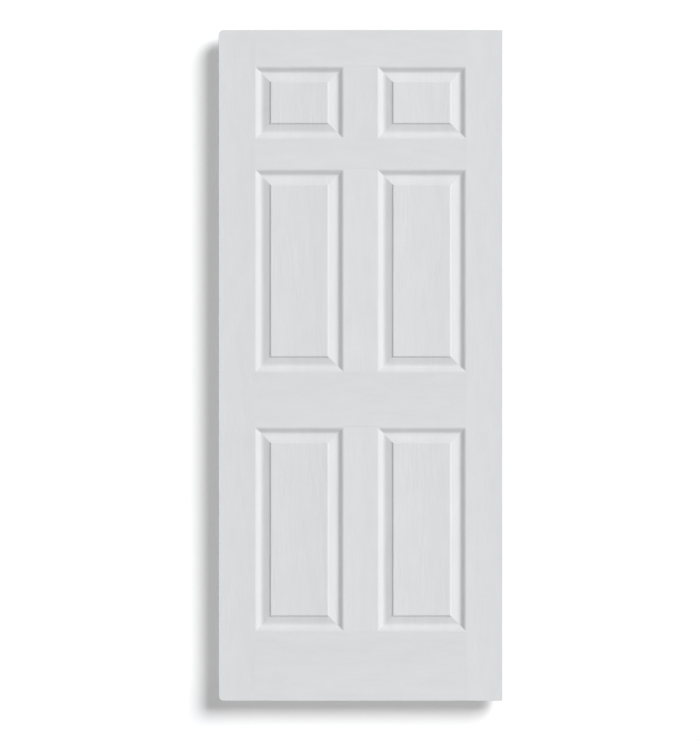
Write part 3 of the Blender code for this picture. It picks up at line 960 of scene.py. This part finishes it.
def primed_fibreboard():
    """Primer over the pressed grain, giving way to raw board where little of it has landed."""
    material, tree, shader, place = begin_finish("primed_fibreboard")
    boards = add_node(tree, "ShaderNodeUVMap", uv_map="boards").outputs["UV"]
    grain = use_group(tree, grain_group, {"Vector": boards})
    embossed = add_node(tree, "ShaderNodeAttribute", attribute_name="embossing").outputs["Fac"]
    painted = add_node(tree, "ShaderNodeAttribute", attribute_name="primer").outputs["Fac"]
    tone = blend_colours(tree, primer_tone(tree, boards), PRIMER_SHADE, PRIMER)
    # The primer's colour is darkened on the slopes here, as painted shade.
    paint = add_node(tree, "ShaderNodeVectorMath", {"Vector": tone, "Scale": painted_slope_shade(tree)},
                     operation="SCALE").outputs["Vector"]
    raw = use_group(tree, fibre_group, {
        "Vector": place, "Light": RAW_BOARD_LIGHT, "Dark": RAW_BOARD_DARK,
        "Fibre Length": RAW_FIBRE_LENGTH})
    sprayed = use_group(tree, spray_group, {
        "Vector": place, "Bare": raw["Color"], "Primer": paint, "Share": painted})
    roughness = spread(tree, sprayed["Cover"], 0.0, 1.0, RAW_ROUGHNESS, PRIMER_ROUGHNESS)
    pressed = sum_up(tree, "MULTIPLY", grain["Height"], embossed)
    height = sum_up(tree, "MULTIPLY_ADD", pressed, GRAIN_DEPTH, board_hollow(tree, boards))
    fill_inputs(tree, shader, {"Base Color": sprayed["Color"], "Roughness": roughness,
                               "Normal": relief(tree, height, 1.0)})
    return material


primed = primed_fibreboard()
for skin in (front_skin, back_skin):
    skin.data.materials.append(primed)
print("primer on:", front_skin.name, back_skin.name)

# %% [markdown]
# ## The softwood frame
#
# Stiles and rails are planed pine, seen along the edges of the leaf. Flat stripes would show
# the same on every side, so growth rings are drawn in the solid: the distance from a pith
# line that runs along the grain. The same rings then show as long stripes on the sides and
# as arcs on the ends of a board. Stiles are glued up from short lengths with finger joints,
# so every block has a pith line and a tone of its own, and two blocks meet in a zigzag.

# %% Blocks and rings
FINGER_PITCH = 0.0042
FINGER_LENGTH = 0.010
GLUE_WIDTH = 0.0003
BLOCK_UNEVENNESS = 0.6
PITH_REACH = 0.16
GROWTH_RING = 0.0034
WARPS_PER_METRE = 14.0
WARP_ALONG = 0.25
WARP_REACH = 0.014
LATE_WOOD_STARTS = (0.35, 0.92)
LATE_WOOD_ENDS = (0.95, 1.0)
WOOD_DETAIL = 2.0


def jointed_blocks(tree, y, z, length):
    """Blocks of uneven length end to end along Z, whose ends are a zigzag along Y: three
    random numbers for each block, and 1 in the glue between two of them."""
    fingers = sum_up(tree, "PINGPONG", y, FINGER_PITCH / 2)
    reached = sum_up(tree, "MULTIPLY_ADD", fingers, 2 * FINGER_LENGTH / FINGER_PITCH, z)
    along = sum_up(tree, "DIVIDE", reached, length)
    blocks, ends = (
        add_node(tree, "ShaderNodeTexVoronoi",
                 {"W": along, "Scale": 1.0, "Randomness": BLOCK_UNEVENNESS},
                 voronoi_dimensions="1D", feature=feature).outputs
        for feature in ("F1", "DISTANCE_TO_EDGE"))
    chance = add_node(tree, "ShaderNodeSeparateColor", {0: blocks["Color"]}).outputs
    edge = sum_up(tree, "MULTIPLY", ends["Distance"], length)
    return chance, spread(tree, edge, GLUE_WIDTH / 2, GLUE_WIDTH, 1.0, 0.0)


def late_wood(tree, x, y, z, chance):
    """The dark late part of each growth ring, by the distance from the block's pith line,
    which a slow noise, stretched along the grain, makes uneven."""
    off_x, off_y = (sum_up(tree, "MULTIPLY_ADD", chance[part], PITH_REACH, -PITH_REACH / 2)
                    for part in ("Red", "Green"))
    pith = pith_distance(tree, sum_up(tree, "ADD", x, off_x), sum_up(tree, "ADD", y, off_y))
    stretched = combine(tree, sum_up(tree, "ADD", x, off_y), y,
                        sum_up(tree, "MULTIPLY", z, WARP_ALONG))
    warp = noise(tree, {"Vector": stretched, "Scale": WARPS_PER_METRE, "Detail": WOOD_DETAIL})
    radius = sum_up(tree, "MULTIPLY_ADD", warp, WARP_REACH, pith)
    share = sum_up(tree, "FRACT", sum_up(tree, "DIVIDE", radius, GROWTH_RING))
    return sum_up(tree, "MULTIPLY", spread(tree, share, *LATE_WOOD_STARTS),
                  spread(tree, share, *LATE_WOOD_ENDS, 1.0, 0.0))


print("growth rings in the leaf's thickness:", round((cad_high.y - cad_low.y) / GROWTH_RING))

# %% The softwood group
PINE_EARLY = (0.63, 0.44, 0.255, 1.0)
PINE_LATE = (0.44, 0.255, 0.12, 1.0)
PINE_GLUE = (0.25, 0.13, 0.06, 1.0)
USUAL_BLOCK = 0.4
FIBRES_PER_METRE = 1500.0
FIBRE_ALONG = 0.02
FIBRE_WEIGHT = 0.5
LATE_WEIGHT = 0.6
BLOCK_WEIGHT = 0.35
DARKNESS_RANGE = (0.2, 1.2)
LATE_WOOD_HEIGHT = -0.3


def sawn_softwood():
    """Pine with its grain along Z: growth rings with dark late wood, fine fibres along the
    grain, a tone for each block, and glue between the blocks."""
    group, taken, made = make_group(
        "sawn_softwood", [("Block Length", "Float", USUAL_BLOCK)],
        [("Color", "Color"), ("Height", "Float")])
    x, y, z = split(group, taken["Vector"])
    chance, glue = jointed_blocks(group, y, z, taken["Block Length"])
    late = late_wood(group, x, y, z, chance)
    thin = combine(group, x, y, sum_up(group, "MULTIPLY", z, FIBRE_ALONG))
    fibres = noise(group, {"Vector": thin, "Scale": FIBRES_PER_METRE, "Detail": WOOD_DETAIL})
    darkness = sum_up(group, "MULTIPLY_ADD", fibres, FIBRE_WEIGHT,
                      sum_up(group, "MULTIPLY", late, LATE_WEIGHT))
    toned = sum_up(group, "MULTIPLY_ADD", chance["Blue"], BLOCK_WEIGHT, darkness)
    wood = blend_colours(group, spread(group, toned, *DARKNESS_RANGE), PINE_EARLY, PINE_LATE)
    low = sum_up(group, "MULTIPLY_ADD", late, LATE_WOOD_HEIGHT, fibres)
    fill_inputs(group, made, {"Color": blend_colours(group, glue, wood, PINE_GLUE),
                              "Height": sum_up(group, "SUBTRACT", low, glue)})
    return group


wood_group = sawn_softwood()
print("group:", wood_group.name)

# %% [markdown]
# Each board gets a material of its own, because the pattern starts from the board's middle.
# A Mapping node moves it there, and for a rail it also turns the grain level. The rails are
# single lengths, so their blocks are longer than they are.

# %% Finish the stiles and rails
STILE_BLOCK = 0.42
RAIL_BLOCK = 6.0
WOOD_RELIEF = 0.00008
WOOD_ROUGHNESS = (0.85, 0.65)
MIST_WIDTH = 0.006
MIST_SHARE = 0.32


def dress(material, *nodes):
    """Gives pieces of the frame file their material."""
    for node in nodes:
        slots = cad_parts[node].data.materials
        slots.clear()
        slots.append(material)
    print(material.name, "on", ", ".join(nodes))


def softwood_board(node, grain_is_level, block_length):
    """Pine about the middle of one board, with a mist of primer along its two faces."""
    low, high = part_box(node)
    material, tree, shader, place = begin_finish(node + "_pine")
    turn = QUARTER_TURN if grain_is_level else 0.0
    own = add_node(tree, "ShaderNodeMapping",
                   {"Vector": place, "Location": (low + high) / 2, "Rotation": (0.0, turn, 0.0)},
                   vector_type="TEXTURE").outputs[0]
    wood = use_group(tree, wood_group, {"Vector": own, "Block Length": block_length})
    depth = sum_up(tree, "ABSOLUTE", split(tree, own)["Y"])
    half = (high.y - low.y) / 2
    mist = spread(tree, depth, half - MIST_WIDTH, half, 0.0, MIST_SHARE)
    sprayed = use_group(tree, spray_group, {
        "Vector": place, "Bare": wood["Color"], "Primer": PRIMER, "Share": mist})
    fill_inputs(tree, shader, {
        "Base Color": sprayed["Color"],
        "Roughness": spread(tree, wood["Height"], 0.0, 1.0, *WOOD_ROUGHNESS),
        "Normal": relief(tree, wood["Height"], WOOD_RELIEF)})
    return material


for stile in ("hinge_stile", "latch_stile"):
    dress(softwood_board(stile, False, STILE_BLOCK), stile)
for rail in ("bottom_rail", "top_rail"):
    dress(softwood_board(rail, True, RAIL_BLOCK), rail)

# %% [markdown]
# ## What the leaf holds inside
#
# The lock blocks are chipboard and the core is kraft paper: the fibre group makes both, at
# two scales and in two browns. Neither shows on the closed leaf, but both are parts in their
# own right.

# %% Finish the lock blocks and the core
CHIP_LIGHT = (0.62, 0.45, 0.27, 1.0)
CHIP_DARK = (0.33, 0.20, 0.10, 1.0)
KRAFT_LIGHT = (0.47, 0.32, 0.18, 1.0)
KRAFT_DARK = (0.35, 0.22, 0.12, 1.0)


def felted(name, light, dark, fibre_length, depth, roughness):
    """A matt finish of felted fibres of one length, between two colours."""
    material, tree, shader, place = begin_finish(name)
    felt = use_group(tree, fibre_group, {
        "Vector": place, "Light": light, "Dark": dark, "Fibre Length": fibre_length})
    fill_inputs(tree, shader, {"Base Color": felt["Color"], "Roughness": roughness,
                               "Normal": relief(tree, felt["Height"], depth)})
    return material


dress(felted("chipboard", CHIP_LIGHT, CHIP_DARK,
             fibre_length=0.009, depth=0.00025, roughness=0.85),
      "hinge_lock_block", "latch_lock_block")
dress(felted("kraft_sheet", KRAFT_LIGHT, KRAFT_DARK,
             fibre_length=0.0022, depth=0.00005, roughness=0.92), "honeycomb_core")

# %% [markdown]
# The corrugated strips are steel strip, dipped in zinc. The zinc sets in flat crystals, and
# each of them mirrors a little differently: the cells of a Voronoi texture, with a grey and
# a roughness of their own.

# %% Finish the corner fasteners
SPANGLES_PER_METRE = 420.0
ZINC_LIGHT = (0.66, 0.67, 0.69, 1.0)
ZINC_DARK = (0.46, 0.47, 0.49, 1.0)
ZINC_ROUGHNESS = (0.28, 0.5)


def zinc_steel():
    """Metal whose crystals differ in colour and in roughness."""
    material, tree, shader, place = begin_finish("zinc_spangle")
    crystal = add_node(tree, "ShaderNodeTexVoronoi",
                       {"Vector": place, "Scale": SPANGLES_PER_METRE}).outputs["Color"]
    chance = add_node(tree, "ShaderNodeSeparateColor", {0: crystal}).outputs
    fill_inputs(tree, shader, {
        "Metallic": 1.0,
        "Base Color": blend_colours(tree, chance["Red"], ZINC_DARK, ZINC_LIGHT),
        "Roughness": spread(tree, chance["Green"], 0.0, 1.0, *ZINC_ROUGHNESS)})
    return material


dress(zinc_steel(), *sorted(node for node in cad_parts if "fastener" in node))
